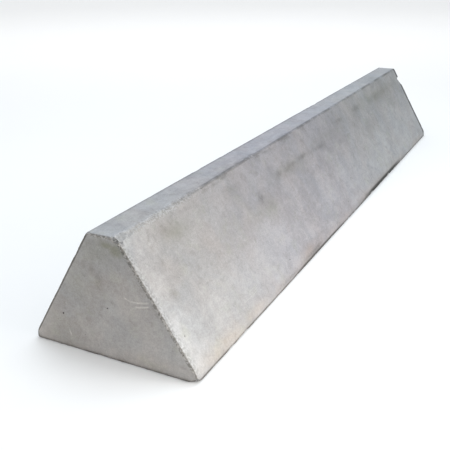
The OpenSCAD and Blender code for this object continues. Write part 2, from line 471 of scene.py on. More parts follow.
def all_breaks(p):
    """What wear and knocks took off: each point's move, and how broken it is, from 0 to 1."""
    rough = 1 + 0.30 * noise(p, 9 * MM, 40) + 0.15 * noise(p, 4 * MM, 41)
    uneven = rough + 0.25 * noise(p, 25 * MM, 43)
    edges = [((a, b), long_edge(p, a, b, *rest)) for a, b, *rest in LONG_EDGES]
    for side, wear, seed in (("left", 1.0, 100), ("right", 0.5, 140)):
        for k, face in enumerate(END_BREAKS):
            edges.append(((side, face), wear * end_edge(p, side, face, seed + 7 * k)))
    edges.append((("right", "front"), far_spall(p)))
    breaks = [(faces, size * rough) for faces, size in edges]
    breaks += [(faces.split(), size * MM * uneven) for faces, size in CORNER_KNOCKS.items()]
    moved = np.zeros_like(p)
    broken = np.zeros(len(p))
    for faces, size in breaks:
        step = cut(p, faces, size)
        length = np.linalg.norm(step, axis=1)
        deeper = length > np.linalg.norm(moved, axis=1)
        moved[deeper] = step[deeper]
        broken = np.maximum(broken, smoothstep(0.3 * MM, 2.5 * MM, length))
    return moved, broken


def fins(p, side, seed):
    """The thin ragged fins of grout that ran between an end plate and the mould, as a move along X."""
    into = depth_in(p, side)
    rim = np.minimum.reduce([depth_in(p, k) for k in ("front", "top", "base")])
    fin = np.clip(fractal(p * [0, 1, 1], 14 * MM, seed, 3) * 1.6 + 0.1, 0, 1) * (END_SKIN - 0.2 * MM)
    at_end = np.clip(1 - np.maximum(into, 0) / (3 * MM), 0, 1)
    at_rim = np.clip(1 - np.maximum(rim, 0) / (2.5 * MM), 0, 1)
    return PLANES[side][0][0] * fin * (at_end * at_rim)


def weather(p, n):
    """Each point's move to where casting and wear have left it, and how broken it is, from 0 to 1."""
    moved, broken = all_breaks(p)

    # near the left end the front ridge is rubbed smooth rather than broken
    ridge = np.maximum(depth_in(p, "top"), 0) + np.maximum(depth_in(p, "front"), 0)
    rubbed = smoothstep(0.45, 0.25, p[:, 0] - LEFT_X) * smoothstep(40 * MM, 20 * MM, ridge)
    broken *= 1 - 0.75 * rubbed * smoothstep(5 * MM, 14 * MM, depth_in(p, "left"))
    moved += n * (broken * 0.7 * MM * noise(p, 7 * MM, 45))[:, None]
    moved[:, 0] += fins(p, "left", 180) * (1 - broken)
    moved[:, 0] += fins(p, "right", 190) * (1 - broken)

    # formed faces: slight waves from the mould, and a fine unevenness. The base was trowelled by hand.
    open_face = smoothstep(-0.9, -0.99, n[:, 2])
    waves = 0.6 * MM * fractal(p, 420 * MM, 11, 2) + 0.12 * MM * fractal(p, 24 * MM, 12, 2) - 0.4 * MM
    trowelled = 2.2 * MM * fractal(p, 260 * MM, 13, 3) + 0.7 * MM * fractal(p, 42 * MM, 14, 3) - 3 * MM
    ends = np.abs(n[:, 0]) > 0.9
    surface = np.where(ends, 0.25 * MM * fractal(p, 60 * MM, 15, 3), waves)
    surface = surface * (1 - open_face) + trowelled * open_face
    moved += n * surface[:, None]

    # the base edges wander, because the trowel finished them by eye
    low = smoothstep(60 * MM, 0, p[:, 2]) * (1 - open_face)
    along = p * [1, 0, 0]
    wander = 2.0 * MM * fractal(along, 330 * MM, 16, 3) + 0.7 * MM * noise(along, 45 * MM, 17)
    moved[:, 2] += low * np.maximum(wander + 0.4 * MM, 0)

    # nothing reaches below the surface that the block stands on
    moved[:, 2] = np.maximum(moved[:, 2], 0.3 * MM - p[:, 2])
    return moved, broken


# ---- marks in the faces


def on_front(along, down):
    """A point of the front face, from the left end and down the slope from the top edge, in millimetres."""
    t = down * MM / SLOPE_LEN
    y = -(HALF_TOP + (HALF_W - HALF_TOP) * t)
    return (LEFT_X + along * MM, y, HEIGHT - (HEIGHT - TOE_H) * t)


def on_back(along, down):
    x, y, z = on_front(along, down)
    return (x, -y, z)


def on_left(y, z):
    return (END_SKIN - HALF_L, y * MM, z * MM)


def on_right(y, z):
    return (HALF_L - END_SKIN, y * MM, z * MM)


# air holes: face, place on it, radius and depth, in millimetres
AIR_HOLES = [
    ("left", on_left(170, 115), 3.4, 3.6),
    ("left", on_left(183, 101), 2.4, 2.2),
    ("left", on_left(192, 92), 1.7, 1.6),
    ("left", on_left(3, 173), 2.3, 2.4),
    ("left", on_left(96, 60), 1.6, 1.4),
    ("right", on_right(120, 150), 3.4, 3.0),
    ("right", on_right(-60, 240), 2.6, 2.2),
    ("right", on_right(-190, 70), 3.0, 2.4),
    ("right", on_right(30, 90), 2.2, 2.0),
    ("front", on_front(45, 330), 2.2, 2.0),
    ("front", on_front(150, 190), 1.5, 1.2),
    ("front", on_front(750, 395), 2.6, 2.2),
    ("front", on_front(1770, 400), 3.0, 2.4),
]
# the shape of an air hole, as shares of its radius and depth from the mouth to the bottom
BOWL = [(1.25, 0.0), (1.0, 0.06), (0.94, 0.35), (0.8, 0.66), (0.55, 0.88), (0.28, 0.98)]
HOLE_CLEAR = 2.2   # the faces are opened this many radii round an air hole


def scattered_holes():
    """More air holes, at fixed chance places on the long faces, where air rises against the mould."""
    rng = np.random.RandomState(23)
    holes = []
    for face, place, count, largest in (("front", on_front, 14, 2.2), ("back", on_back, 34, 3.8)):
        for _ in range(count):
            along = rng.uniform(80, 2920)
            down = 420 * rng.uniform(0.1, 0.98) ** 0.7
            radius = rng.uniform(1.3, largest)
            holes.append((face, place(along, down), radius, radius * rng.uniform(0.6, 0.95)))
    return holes


def make_air_holes(skin):
    for face, place, radius, depth in AIR_HOLES + scattered_holes():
        rings = [(r * radius * MM, d * depth * MM) for r, d in BOWL]
        skin.sink(place, PLANES[face][0], HOLE_CLEAR * radius * MM, rings, wobble=0.09)


RECESS_R = 22 * MM    # the recess former round a lifting socket
RECESS_CLEAR = 36 * MM   # how far the base is opened round it
SOCKET_GAP = 0.35 * MM


def make_bores(skin):
    """Opens the base under each lifting socket, so that the CAD socket shows in its recess."""
    for name in ("lifting_socket_left", "lifting_socket_right"):
        lo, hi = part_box(name)
        shaft = (hi.x - lo.x) / 2 + SOCKET_GAP

        # from the base's skin over the worn lip and up the tapered recess to the socket's face and shaft
        rings = [
            (RECESS_R + 9 * MM, 0.0),
            (RECESS_R + 2 * MM, 0.0),
            (RECESS_R + 0.4 * MM, 1.6 * MM),
            (RECESS_R - 0.6 * MM, lo.z - 2 * MM),
            (RECESS_R - 2.2 * MM, lo.z),
            (shaft, lo.z + 0.2 * MM),
            (shaft, hi.z + SOCKET_GAP),
        ]
        mouth = ((lo.x + hi.x) / 2, (lo.y + hi.y) / 2, 0)
        skin.sink(mouth, PLANES["base"][0], RECESS_CLEAR, rings, exact=True)


# ---- where each kind of ageing lies

# soft blotches of each kind: place, half length, half height (in millimetres) and strength. The place is
# along the block from the left end and down the slope, or on the ends Y and Z.
FRONT = {
    "dark": [
        (776, 150, 24, 22, 1.0), (806, 180, 40, 44, 0.25), (989, 116, 24, 13, 1.0),
        (1060, 120, 60, 12, 0.5), (1128, 116, 36, 9, 0.8), (1244, 113, 46, 10, 1.0),
        (1340, 118, 60, 12, 0.5), (1400, 122, 50, 9, 0.7), (1462, 124, 36, 13, 1.0),
        (1783, 75, 60, 12, 0.8), (2067, 74, 60, 18, 0.8), (2450, 80, 150, 26, 0.5),
        # the dark marks 449 to 462 mm down lie on the foot and are painted shadow
        (2830, 78, 50, 24, 0.35), (205, 60, 40, 26, 0.25), (90, 225, 22, 24, 0.4), (950, 449, 115, 13, 1.2),
        (700, 452, 110, 8, 0.7), (1990, 462, 430, 18, 1.5), (620, 60, 60, 20, 0.4),
        (2150, 200, 160, 40, 0.3),
    ],
    "brown": [
        (380, 190, 220, 70, 0.55), (205, 60, 50, 36, 0.6), (90, 225, 30, 34, 0.6), (150, 160, 60, 50, 0.5),
        (960, 430, 160, 26, 0.8), (2600, 90, 260, 40, 0.6),
    ],
    "sand": [
        (190, 440, 170, 34, 1.0), (400, 442, 110, 24, 0.8), (640, 446, 120, 16, 0.6),
        (900, 436, 90, 26, 0.8), (1300, 446, 200, 14, 0.6),
    ],
    "green": [
        (250, 75, 70, 30, 0.55), (812, 205, 60, 40, 0.7), (700, 190, 90, 34, 0.4),
        (1100, 118, 220, 26, 0.4), (1500, 100, 200, 24, 0.2), (2480, 70, 480, 50, 0.45),
    ],
    "light": [
        (420, 330, 420, 90, 0.55), (60, 380, 120, 60, 0.4), (700, 265, 170, 60, 1.0),
        (880, 340, 130, 60, 0.6), (1600, 300, 500, 80, 0.3),
    ],
}
BACK = {
    "dark": [
        (400, 120, 150, 16, 0.8), (900, 150, 60, 20, 0.6), (1500, 105, 280, 14, 0.8),
        (2300, 130, 90, 18, 0.8), (2700, 420, 200, 26, 0.7), (1200, 430, 240, 20, 0.7),
    ],
    "brown": [
        (700, 220, 260, 70, 0.5), (1900, 180, 200, 60, 0.5), (300, 424, 240, 28, 0.7),
        (2200, 426, 300, 24, 0.8),
    ],
    "green": [(1100, 70, 300, 34, 0.5), (2600, 80, 220, 40, 0.55), (200, 90, 90, 40, 0.4)],
    "light": [(1400, 320, 600, 80, 0.5), (2500, 300, 260, 80, 0.4), (500, 330, 200, 60, 0.4)],
}
LEFT = {
    "green": [
        (-46, 361, 26, 19, 1.8), (-16, 372, 34, 12, 1.5), (20, 350, 60, 36, 0.5), (100, 230, 50, 60, 0.35),
        (180, 60, 70, 50, 0.3),
    ],
    "brown": [
        (47, 285, 16, 20, 0.9), (72, 297, 14, 18, 0.8), (98, 300, 16, 24, 0.6), (30, 240, 30, 34, 0.6),
        (190, 130, 34, 60, 0.3), (140, 60, 60, 26, 0.25), (-60, 8, 200, 12, 0.4), (150, 10, 90, 14, 0.4),
    ],
    "dark": [
        (-46, 360, 20, 14, 0.5), (44, 288, 14, 16, 0.5), (20, 262, 18, 26, 0.35), (70, 300, 10, 14, 0.4),
    ],
}
RIGHT = {
    "green": [(40, 330, 50, 30, 0.7), (-90, 200, 60, 50, 0.4)],
    "brown": [(-60, 230, 50, 50, 0.5), (60, 10, 200, 14, 0.9), (-200, 30, 40, 30, 0.5)],
    "dark": [(30, 350, 40, 24, 0.7), (120, 60, 60, 50, 0.4)],
}

END_ZONE = 12 * MM   # what lies this near the end counts as the end face


def blotches(marks, u, v):
    """A mask of soft blotches, whose marks lie at (u, v)."""
    total = np.zeros(len(u))
    for at_u, at_v, half_u, half_v, strength in marks:
        r2 = ((u - at_u) / half_u) ** 2 + ((v - at_v) / half_v) ** 2
        total = np.maximum(total, strength * np.exp(-1.2 * r2))
    return total


def tone(p):
    """Broad brightness: the flanks grow paler downwards and are palest near the left end; the ends grow
    paler downwards.
    """
    flank = np.minimum(np.abs(depth_in(p, "front")), np.abs(depth_in(p, "back")))
    down = (HEIGHT - p[:, 2]) / HEIGHT
    along = (p[:, 0] - LEFT_X) / (2 * HALF_L)
    on_flank = smoothstep(12 * MM, 4 * MM, flank)
    on_end = smoothstep(8 * MM, 5 * MM, HALF_L - np.abs(p[:, 0])) * (1 - on_flank)
    on_top = smoothstep(0.03, 0.01, down) * (1 - on_end)
    duller = 0.12 * smoothstep(0.02, 0.25, along) * (1 - 0.7 * smoothstep(0.55, 0.8, along))
    down_slope = 0.86 + 0.22 * smoothstep(0.0, 1.0, down) + 0.22 * smoothstep(0.06, 0.0, along) - duller
    end_tone = 0.10 * smoothstep(0.5, 0.95, down) + 0.02
    top_tone = 0.14 * smoothstep(0.03, 0.008, along)
    return 1 + (down_slope - 1) * on_flank + end_tone * on_end + top_tone * on_top * (1 - on_flank)


def ageing(p):
    """What the concrete's nodes read at every point: masks from 0 to 1, and the tone."""
    along, down = (p[:, 0] - LEFT_X) / MM, (HEIGHT - p[:, 2]) / (HEIGHT - TOE_H) * SLOPE_LEN / MM
    y, z = p[:, 1] / MM, p[:, 2] / MM
    faces = [
        (FRONT, along, down, y < 0),
        (BACK, along, down, y > 0),
        (LEFT, y, z, p[:, 0] < LEFT_X + END_ZONE),
        (RIGHT, y, z, p[:, 0] > HALF_L - END_ZONE),
    ]
    feather = 1 + 0.5 * fractal(p, 60 * MM, 30, 3)
    masks = {}
    for kind in ("dark", "brown", "green", "light", "sand"):
        masks[kind] = sum(blotches(marks.get(kind, ()), u, v) * on_face for marks, u, v, on_face in faces)
        masks[kind] *= feather
    splashed = smoothstep(60 * MM, 5 * MM, p[:, 2]) * (0.4 + 0.4 * noise(p * [1, 0, 0], 210 * MM, 31))
    masks["soil"] = np.maximum(splashed, masks.pop("sand"))
    masks = {kind: np.clip(mask, 0, 1) for kind, mask in masks.items()}
    from_rim = np.minimum.reduce([depth_in(p, k) for k in ("toe_front", "toe_back", "left", "right")])
    masks["underside"] = smoothstep(8 * MM, 2 * MM, p[:, 2]) * smoothstep(6 * MM, 16 * MM, from_rim)
    masks["tone"] = tone(p)
    return masks


def add_smooth(name, mesh):
    mesh.polygons.foreach_set("use_smooth", [True] * len(mesh.polygons))
    made = bpy.data.objects.new(name, mesh)
    bpy.context.scene.collection.objects.link(made)
    return made


def make_block():
    """The whole weathered block as one closed mesh."""
    skin = build_skin()
    make_air_holes(skin)
    make_bores(skin)
    p, n, sunk, exact, faces = skin.gather()
    moved, broken = weather(p, n)
    p = p + moved * ~exact[:, None] - n * sunk[:, None]
    mesh = bpy.data.meshes.new("barrier_block")
    mesh.from_pydata(p.tolist(), [], faces)
    masks = ageing(p)
    masks["broken"] = broken
    masks["hollow"] = smoothstep(0.2 * MM, 1.2 * MM, sunk)
    for name, values in masks.items():
        layer = mesh.attributes.new(name, "FLOAT", "POINT")
        layer.data.foreach_set("value", values)
    return add_smooth("barrier_block", mesh)


# ---- materials


class Nodes:
    """Short ways to add shader nodes to one material."""

    def __init__(self, name):
        self.material = bpy.data.materials.new(name)
        self.material.use_nodes = True
        self.tree = self.material.node_tree
        self.tree.nodes.clear()
        self.at = self.add("ShaderNodeTexCoord").outputs["Object"]

    def add(self, kind, values=(), **settings):
        """A new node, with a value or a link for each input that values names."""
        node = self.tree.nodes.new(kind)
        for key, value in settings.items():
            setattr(node, key, value)
        for key, value in dict(values).items():
            self.put(node.inputs[key], value)
        return node

    def put(self, socket, value):
        if isinstance(value, bpy.types.NodeSocket):
            self.tree.links.new(value, socket)
        else:
            socket.default_value = value

    def stretched(self, x, y, z):
        """Object coordinates that draw a texture out along each axis by that much."""
        scale = {"Vector": self.at, "Scale": (1 / x, 1 / y, 1 / z)}
        return self.add("ShaderNodeMapping", scale).outputs["Vector"]

    def noise(self, size, detail, rough, at=None, warp=0.0):
        """Fractal noise from 0 to 1, with lumps of about that size."""
        values = {"Vector": at or self.at, "Scale": 1 / size, "Detail": detail}
        values.update({"Roughness": rough, "Distortion": warp})
        return self.add("ShaderNodeTexNoise", values).outputs["Fac"]

    def cells(self, size, output):
        return self.add("ShaderNodeTexVoronoi", {"Vector": self.at, "Scale": 1 / size}).outputs[output]

    def remap(self, value, low, high, to_low=0.0, to_high=1.0):
        values = {"Value": value, "From Min": low, "From Max": high, "To Min": to_low, "To Max": to_high}
        return self.add("ShaderNodeMapRange", values, interpolation_type="SMOOTHSTEP").outputs["Result"]

    def math(self, operation, a, b=0.0):
        node = self.add("ShaderNodeMath", operation=operation)
        self.put(node.inputs[0], a)
        self.put(node.inputs[1], b)
        return node.outputs[0]

    def opposite(self, share):
        return self.math("SUBTRACT", 1.0, share)

    def times(self, *values):
        total = values[0]
        for value in values[1:]:
            total = self.math("MULTIPLY", total, value)
        return total

    def inside(self, plane):
        """How far a point lies inside one of the block's flat faces, in metres."""
        normal, origin = (Vector(v) for v in PLANES[plane])
        dot = self.add("ShaderNodeVectorMath", {0: self.at, 1: normal}, operation="DOT_PRODUCT")
        return self.math("SUBTRACT", normal.dot(origin), dot.outputs["Value"])

    def mask(self, name):
        return self.add("ShaderNodeAttribute", attribute_name=name).outputs["Fac"]

    def mix(self, share, a, b, blend="MIX"):
        node = self.add("ShaderNodeMix", data_type="RGBA", blend_type=blend)
        self.put(node.inputs[0], share)
        self.put(node.inputs[6], a)
        self.put(node.inputs[7], b)
        return node.outputs[2]

    def bump(self, height, distance, below=None):
        values = {"Height": height, "Distance": distance, "Strength": 1.0}
        if below is not None:
            values["Normal"] = below
        return self.add("ShaderNodeBump", values).outputs["Normal"]

    def surface(self, **values):
        shader = self.add("ShaderNodeBsdfPrincipled", {k.replace("_", " "): v for k, v in values.items()})
        self.add("ShaderNodeOutputMaterial", {"Surface": shader.outputs[0]})
        return self.material


def grey(value, warm=0.0):
    """A grey as linear colour, which leans to sand as warm grows."""
    return (value * (1 + warm), value, value * (1 - 1.3 * warm), 1)


# pale scraped marks: face, middle across (Y on the end, X on the front) and up, half length, tilt, bend and
# half width
SCRAPES = [
    ("left", -0.107, 0.2165, 0.038, -0.133, 3.0, 0.0042),
    ("left", -0.069, 0.2180, 0.013, 0.375, 0.0, 0.0036),
    ("left", -0.116, 0.2050, 0.028, -0.25, 2.0, 0.0036),
    ("left", 0.151, 0.0525, 0.0046, 1.8, 0.0, 0.0085),
    ("front", LEFT_X + 0.423, 0.0710, 0.062, 0.0, 0.3, 0.0010),
    ("front", LEFT_X + 0.455, 0.0840, 0.040, 0.0, 0.3, 0.0007),
]


def scrape(g, across, up, middle, height, half, tilt, bend, width):
    """Mask of one curved scrape, which fades towards its ends."""
    off = g.math("SUBTRACT", across, middle)
    square = g.times(off, off)
    curve = g.math("ADD", g.times(square, bend), height)
    curve = g.math("ADD", g.times(off, tilt), curve)
    gap = g.math("ABSOLUTE", g.math("SUBTRACT", up, curve))
    return g.times(g.remap(gap, width, 0.3 * width), g.remap(square, half**2, 0.3 * half**2))


def all_scrapes(g, inside):
    """Mask of every scrape, each on its own face only."""
    axes = g.add("ShaderNodeSeparateXYZ", {"Vector": g.at}).outputs
    total = 0.0
    for face, *place in SCRAPES:
        across = axes["Y"] if face == "left" else axes["X"]
        mark = g.times(scrape(g, across, axes["Z"], *place), g.remap(inside[face], 0.006, 0.003))
        total = g.math("MAXIMUM", mark, total)
    return total


def concrete_skin(g, mottled):
    """The cement skin's own colour: cloudy greys at several scales, drawn out along and down the faces."""
    broad = g.noise(0.42, 5, 0.6)
    patchy = g.noise(0.11, 6, 0.62, warp=0.4)
    drawn = g.noise(0.02, 5, 0.6, at=g.stretched(9, 1, 1.4))
    down_slope = g.noise(0.028, 5, 0.62, at=g.stretched(1, 4, 5))
    colour = g.mix(g.remap(broad, 0.32, 0.68), grey(0.285, 0.0), grey(0.335, 0.015))
    colour = g.mix(g.remap(patchy, 0.38, 0.7), colour, grey(0.37, 0.02))
    clouds = [
        (mottled, 0.5, 0.72, 0.62, grey(0.248, 0.03)),
        (mottled, 0.46, 0.26, 0.6, grey(0.40, 0.005)),
        (down_slope, 0.54, 0.72, 0.2, grey(0.40, 0.0)),
        (down_slope, 0.46, 0.28, 0.16, grey(0.255, 0.025)),
        (drawn, 0.56, 0.74, 0.26, grey(0.41, 0.01)),
        (drawn, 0.44, 0.26, 0.24, grey(0.25, 0.02)),
    ]
    for cloud, none, full, share, shade in clouds:
        colour = g.mix(g.times(g.remap(cloud, none, full), share), colour, shade)

    # the hue wanders between mauve and lilac over a hand's breadth, and a little towards olive in patches
    hue = g.remap(g.noise(0.17, 4, 0.6, warp=0.5), 0.36, 0.64)
    tint = g.mix(hue, (1.018, 0.99, 0.985, 1), (0.988, 0.996, 1.018, 1))
    olive = g.remap(g.noise(0.06, 4, 0.6, warp=0.4), 0.52, 0.7)
    tint = g.mix(g.times(olive, 0.8), tint, (0.995, 1.005, 0.955, 1))
    return g.mix(1.0, colour, tint, "MULTIPLY")


# the soft kinds of mark: how strongly each colours the concrete, and with what
STAINS = {
    "light": (0.5, grey(0.39)),
    "brown": (0.4, (0.27, 0.232, 0.205, 1)),
    "green": (0.66, (0.205, 0.21, 0.155, 1)),
    "soil": (0.46, (0.405, 0.335, 0.272, 1)),
}


def stains(g, colour):
    """Washed, brown, green, sandy and dark marks where the masks put them, with broken outlines."""
    soft = g.remap(g.noise(0.08, 5, 0.62, warp=0.6), 0.3, 0.62, 0.6, 1.0)
    for kind, (share, shade) in STAINS.items():
        colour = g.mix(g.times(g.mask(kind), soft, share), colour, shade)
    break_up = g.remap(g.noise(0.014, 6, 0.72, warp=0.9), 0.32, 0.62, 0.2, 1.0)
    # the dark marks on the front's foot are painted shadow
    return g.mix(g.times(g.mask("dark"), break_up, 0.72), colour, (0.125, 0.122, 0.108, 1))


# painted shadow in stretches along the foot: fades in and out along the block, fades out upwards, strength,
# colour
FOOT_SHADOWS = [
    ((1.6, 1.8), (2.4, 2.2), (0.028, 0.014), 0.92, (0.035, 0.034, 0.03, 1)),
    ((0.7, 0.85), (1.4, 1.15), (0.018, 0.008), 0.8, (0.05, 0.047, 0.04, 1)),
]


def ridge_marks_and_light(g, colour, inside, on_end, crumbly, slow):
    """Front ridge: pale grit near the left end, painted lighter as light on its bevel, and a dark line
    further along.
    """
    left = inside["left"]
    from_ridge = g.math("ADD", inside["top"], inside["front"])
    past_left_end = g.remap(left, 0.28, 0.5)
    line = g.times(g.remap(from_ridge, 0.0085, 0.003), past_left_end, slow)
    colour = g.mix(g.times(line, 0.6), colour, (0.11, 0.108, 0.098, 1))
    patches = g.remap(g.noise(0.035, 5, 0.7, at=g.stretched(2.5, 1, 1)), 0.42, 0.62)
    smudged = g.times(g.remap(from_ridge, 0.024, 0.009), past_left_end, g.remap(left, 1.7, 1.1))
    colour = g.mix(g.times(smudged, patches, 0.5), colour, (0.13, 0.128, 0.115, 1))
    worn_and_lit = g.times(g.remap(from_ridge, 0.022, 0.006), g.remap(left, 0.52, 0.3), g.opposite(on_end))
    colour = g.mix(g.times(worn_and_lit, crumbly, 0.2), colour, (0.2, 0.198, 0.172, 1))
    # painted light: the ridge's bevel near the left end is coloured pale, as if lit like the front
    colour = g.mix(g.times(worn_and_lit, g.opposite(crumbly), 0.6), colour, grey(0.48))
    back_ridge = g.remap(g.math("ADD", inside["top"], inside["back"]), 0.006, 0.0025)
    return g.mix(g.times(back_ridge, slow, 0.4), colour, (0.13, 0.128, 0.118, 1))


def foot_line_and_shadow(g, colour, inside, on_end, slow):
    """A dark line runs along the foot, fainter on the ends and blacker where painted shadow lies in two
    stretches.
    """
    not_under = g.opposite(g.mask("underside"))
    foot = g.times(g.remap(inside["base"], 0.012, 0.004), not_under, g.remap(on_end, 0.0, 1.0, 1.0, 0.5))
    colour = g.mix(g.times(foot, g.remap(slow, 0.0, 1.0, 0.7, 0.95)), colour, (0.075, 0.064, 0.054, 1))
    # painted shadow: near-black bands along the foot
    for start, stop, up, share, shade in FOOT_SHADOWS:
        run = g.times(g.remap(inside["left"], *start), g.remap(inside["left"], *stop), not_under)
        colour = g.mix(g.times(run, g.remap(inside["base"], *up), share), colour, shade)
    return colour


def end_grit_and_shade(g, colour, inside, on_end, crumbly):
    """Grit and painted shade where the end plates met the mould, and painted shadow lines at the ends'
    edges.
    """
    smooth = g.opposite(crumbly)
    for face, width in (("front", 0.012), ("top", 0.010), ("back", 0.004)):
        # painted shade: the crumbly parts of each strip are dark as on a rough chamfer in shade; the rest is
        # pale grit
        strip = g.times(on_end, g.remap(inside[face], width, 0.6 * width))
        colour = g.mix(g.times(strip, crumbly, 0.56), colour, (0.135, 0.13, 0.115, 1))
        colour = g.mix(g.times(strip, smooth, 0.45), colour, grey(0.48, 0.02))
        # painted shadow: a thin dark line right along each edge of the end
        line = g.times(on_end, g.remap(inside[face], 0.35 * width, 0.15 * width))
        colour = g.mix(g.times(line, 0.4), colour, (0.1, 0.097, 0.088, 1))
    # painted shade on the left end's back corner, where the edge caught light from behind
    from_back = g.math("MINIMUM", inside["back"], inside["toe_back"])
    back_corner = g.remap(g.math("ADD", inside["left"], from_back), 0.0075, 0.0045)
    colour = g.mix(g.times(back_corner, 0.8), colour, (0.09, 0.088, 0.08, 1))
    on_flank = g.times(g.remap(inside["front"], 0.004, 0.0025), g.opposite(on_end))
    near_end = g.times(on_flank, g.remap(inside["left"], 0.034, 0.008))
    colour = g.mix(g.times(near_end, smooth, 0.3), colour, grey(0.48, 0.005))
    colour = g.mix(g.times(near_end, crumbly, 0.45), colour, grey(0.19, 0.03))
    # painted shade on the front along the far end, where the rounded edge turns from the light
    far_edge = g.times(on_flank, g.remap(inside["right"], 0.036, 0.018))
    return g.mix(g.times(far_edge, 0.85), colour, (0.06, 0.06, 0.056, 1))


def edge_grit_and_shade(g, colour, inside, on_end):
    """Grit, dark lines, painted shade, shadow and light along the edges: ridge, foot and ends."""
    crumbly = g.remap(g.noise(0.007, 1.0, 0.5), 0.46, 0.54)
    slow = g.remap(g.noise(0.09, 4, 0.6), 0.3, 0.6)
    colour = ridge_marks_and_light(g, colour, inside, on_end, crumbly, slow)
    colour = foot_line_and_shadow(g, colour, inside, on_end, slow)
    return end_grit_and_shade(g, colour, inside, on_end, crumbly)


def whole_faces(g, colour, inside, on_end):
    """The ends lean to sand, the top is tinted blue as painted sky light, and the flanks shift in hue along
    the block.
    """
    tone = g.mask("tone")
    tones = g.add("ShaderNodeCombineColor", {0: tone, 1: tone, 2: tone}).outputs[0]
    colour = g.mix(1.0, colour, tones, "MULTIPLY")
    left = inside["left"]
    tints = [
        (on_end, (1.03, 0.995, 0.96, 1)),
        # painted sky light: blue tint on the top
        (g.remap(inside["top"], 0.004, 0.002), (1.0, 1.02, 1.06, 1)),
        (g.times(g.remap(left, 0.15, 0.9), g.remap(left, 2.2, 1.3)), (0.995, 0.982, 1.035, 1)),
        (g.remap(left, 1.0, 2.4), (0.985, 1.012, 1.04, 1)),
    ]
    for share, tint in tints:
        colour = g.mix(share, colour, tint, "MULTIPLY")
    return colour


def concrete_material():
    """Weathered concrete: its skin, stains, edges with grit and painted light and shade, broken stone,
    pores, scrapes and fine grain.
    """
    g = Nodes("weathered_concrete")
    mottled = g.noise(0.034, 6, 0.66, warp=0.3)
    grain = g.noise(0.0042, 3, 0.7)
    inside = {name: g.inside(name) for name in PLANES}
    on_end = g.remap(g.math("MINIMUM", inside["left"], inside["right"]), 0.005, 0.0025)
    scrapes = all_scrapes(g, inside)
    colour = stains(g, concrete_skin(g, mottled))
    colour = edge_grit_and_shade(g, colour, inside, on_end)
    colour = g.mix(g.times(scrapes, 0.6), colour, grey(0.52, 0.03))

    # broken concrete shows its sand and small stones
    stones = g.add("ShaderNodeSeparateColor", {"Color": g.cells(0.0055, "Color")}).outputs[0]
    stone = g.mix(g.remap(stones, 0.2, 0.9), grey(0.26, 0.04), grey(0.5, 0.02))
    colour = g.mix(g.times(g.mask("broken"), 0.6), colour, stone)

    # the trowelled base is darker and dusty
    colour = g.mix(g.times(g.mask("underside"), 0.5), colour, (0.26, 0.235, 0.2, 1))

    # pores, air holes and the socket recesses are painted dark inside: painted shade in the hollows
    pore_chance = g.remap(g.noise(0.013, 1, 0.5), 0.54, 0.6)
    pore = g.times(g.remap(g.cells(0.011, "Distance"), 0.10, 0.06), pore_chance)
    colour = g.mix(g.times(pore, 0.5), colour, (0.13, 0.125, 0.115, 1))
    colour = g.mix(g.times(g.mask("hollow"), 0.8), colour, (0.08, 0.076, 0.07, 1))

    colour = whole_faces(g, colour, inside, on_end)
    speckle = g.mix(g.remap(grain, 0.25, 0.75), grey(0.89), grey(1.11))
    colour = g.mix(1.0, colour, speckle, "MULTIPLY")
    flecks = g.mix(g.remap(g.noise(0.014, 3, 0.7), 0.3, 0.7), grey(0.95), grey(1.055))
    colour = g.mix(1.0, colour, flecks, "MULTIPLY")

    height = g.math("ADD", g.times(grain, 0.5), g.times(mottled, 0.35))
    height = g.math("ADD", height, g.times(scrapes, 0.8))
    height = g.math("SUBTRACT", height, g.times(pore, 1.6))
    fine = g.bump(height, 0.0009)
    gritty = g.remap(g.noise(0.006, 4, 0.75), 0.42, 0.58)
    front_strip = g.times(on_end, g.remap(inside["front"], 0.012, 0.008))
    crumbs = g.times(g.math("MAXIMUM", g.mask("broken"), front_strip), gritty)
    normal = g.bump(crumbs, 0.0012, below=fine)
    roughness = g.remap(g.noise(0.05, 5, 0.6), 0.3, 0.7, 0.82, 0.95)
    return g.surface(Base_Color=colour, Roughness=roughness, Normal=normal, Specular_IOR_Level=0.35)


def rebar_material():
    """Rusted ribbed bar: mill scale under brown and orange rust, with crosswise ribs as relief."""
    g = Nodes("rusted_rebar")
    rust = g.noise(0.012, 7, 0.7, warp=0.5)
    fine = g.noise(0.0015, 4, 0.7)
    colour = g.mix(g.remap(rust, 0.35, 0.65), (0.06, 0.045, 0.04, 1), (0.24, 0.085, 0.03, 1))
    colour = g.mix(g.times(g.remap(fine, 0.5, 0.75), 0.6), colour, (0.42, 0.17, 0.06, 1))
    waves = {"Vector": g.at, "Scale": 26.0, "Distortion": 0.6}
    ribs = g.add("ShaderNodeTexWave", waves, bands_direction="DIAGONAL")
    height = g.math("ADD", g.remap(ribs.outputs["Fac"], 0.6, 0.9), g.times(fine, 0.4))
    roughness = g.remap(rust, 0.3, 0.7, 0.55, 0.9)
    metal = g.remap(rust, 0.6, 0.35, 0.1, 0.75)
    normal = g.bump(height, 0.0012)
    return g.surface(Base_Color=colour, Roughness=roughness, Metallic=metal, Normal=normal)


